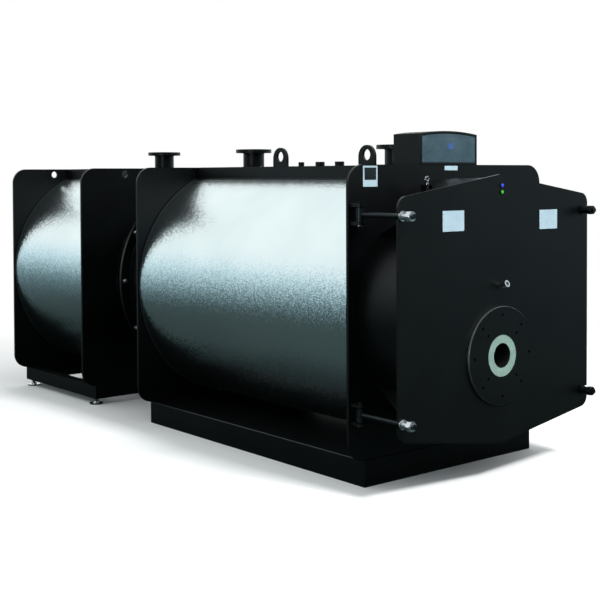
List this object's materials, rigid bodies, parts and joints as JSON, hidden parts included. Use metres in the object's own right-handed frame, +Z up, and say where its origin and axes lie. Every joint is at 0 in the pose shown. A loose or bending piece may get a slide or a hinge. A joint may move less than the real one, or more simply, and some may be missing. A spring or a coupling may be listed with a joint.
{
  "type": "fire-tube boiler with flue gas condenser",
  "caption": "Horizontal fire-tube boiler on a skid with a hinged deep burner door, and a condensing heat exchanger of the same section behind it.",
  "frame": {"origin": "middle of the whole object's box, on the floor", "axes": "-Y is the burner door's side, +Y the flue outlet, +X to the right seen from the door, +Z up"},
  "size_m": [1.824, 5.296, 2.222],
  "materials": {
    "black_enamel": "satin",
    "stucco_aluminium": "stucco embossed",
    "bright_zinc": "polished",
    "stainless_steel": "brushed",
    "refractory": "matt fibre",
    "box_plastic": "fine grain",
    "smoked_window": "smoked"
  },
  "bodies": {
    "root": {"boiler_jacket": "stucco_aluminium", "boiler_top_cover": "black_enamel", "condenser_base": "black_enamel", "condenser_flange": "black_enamel", "condenser_front_plate": "black_enamel", "condenser_inlet_drum": "black_enamel", "condenser_jacket": "stucco_aluminium", "condenser_rear_plate": "black_enamel", "condenser_top_cover": "black_enamel", "control_box": "box_plastic", "control_window": "smoked_window", "flue_outlet": "stainless_steel", "front_plate": "black_enamel", "hinge_lugs_lower_left": "black_enamel", "hinge_lugs_lower_right": "black_enamel", "hinge_lugs_upper_left": "black_enamel", "hinge_lugs_upper_right": "black_enamel", "levelling_feet": "bright_zinc", "lifting_lugs": "black_enamel", "rear_plate": "black_enamel", "return_flange": "black_enamel", "skid_cross_members": "black_enamel", "skid_deck": "black_enamel", "skid_rails": "black_enamel", "smoke_box_drum": "black_enamel", "smoke_box_flange": "black_enamel", "supply_flange": "black_enamel", "top_sockets": "black_enamel"},
    "door": {"door_plate": "black_enamel", "door_drum": "black_enamel", "door_lining": "refractory", "door_gussets": "black_enamel", "burner_flange": "black_enamel", "refractory_ring": "refractory", "sight_tube": "bright_zinc", "door_lifting_eye": "bright_zinc", "tie_rod_upper_left": "black_enamel", "tie_rod_lower_left": "black_enamel", "tie_nut_upper_left": "bright_zinc", "tie_nut_lower_left": "bright_zinc"},
    "upper_right_tie_bolt": {"tie_rod_upper_right": "black_enamel", "tie_nut_upper_right": "bright_zinc"},
    "lower_right_tie_bolt": {"tie_rod_lower_right": "black_enamel", "tie_nut_lower_right": "bright_zinc"}
  },
  "joints": [
    {"name": "door_hinge", "type": "hinge", "parent": "root", "child": "door", "pos_m": [-0.865, -2.179, 1.083], "axis": [0, 0, -1], "range_deg": [0, 105]},
    {"name": "upper_right_bolt_swing", "type": "hinge", "parent": "root", "child": "upper_right_tie_bolt", "pos_m": [0.835, -2.179, 1.694], "axis": [0, 0, 1], "range_deg": [0, 95]},
    {"name": "lower_right_bolt_swing", "type": "hinge", "parent": "root", "child": "lower_right_tie_bolt", "pos_m": [0.835, -2.179, 0.472], "axis": [0, 0, 1], "range_deg": [0, 95]}
  ]
}
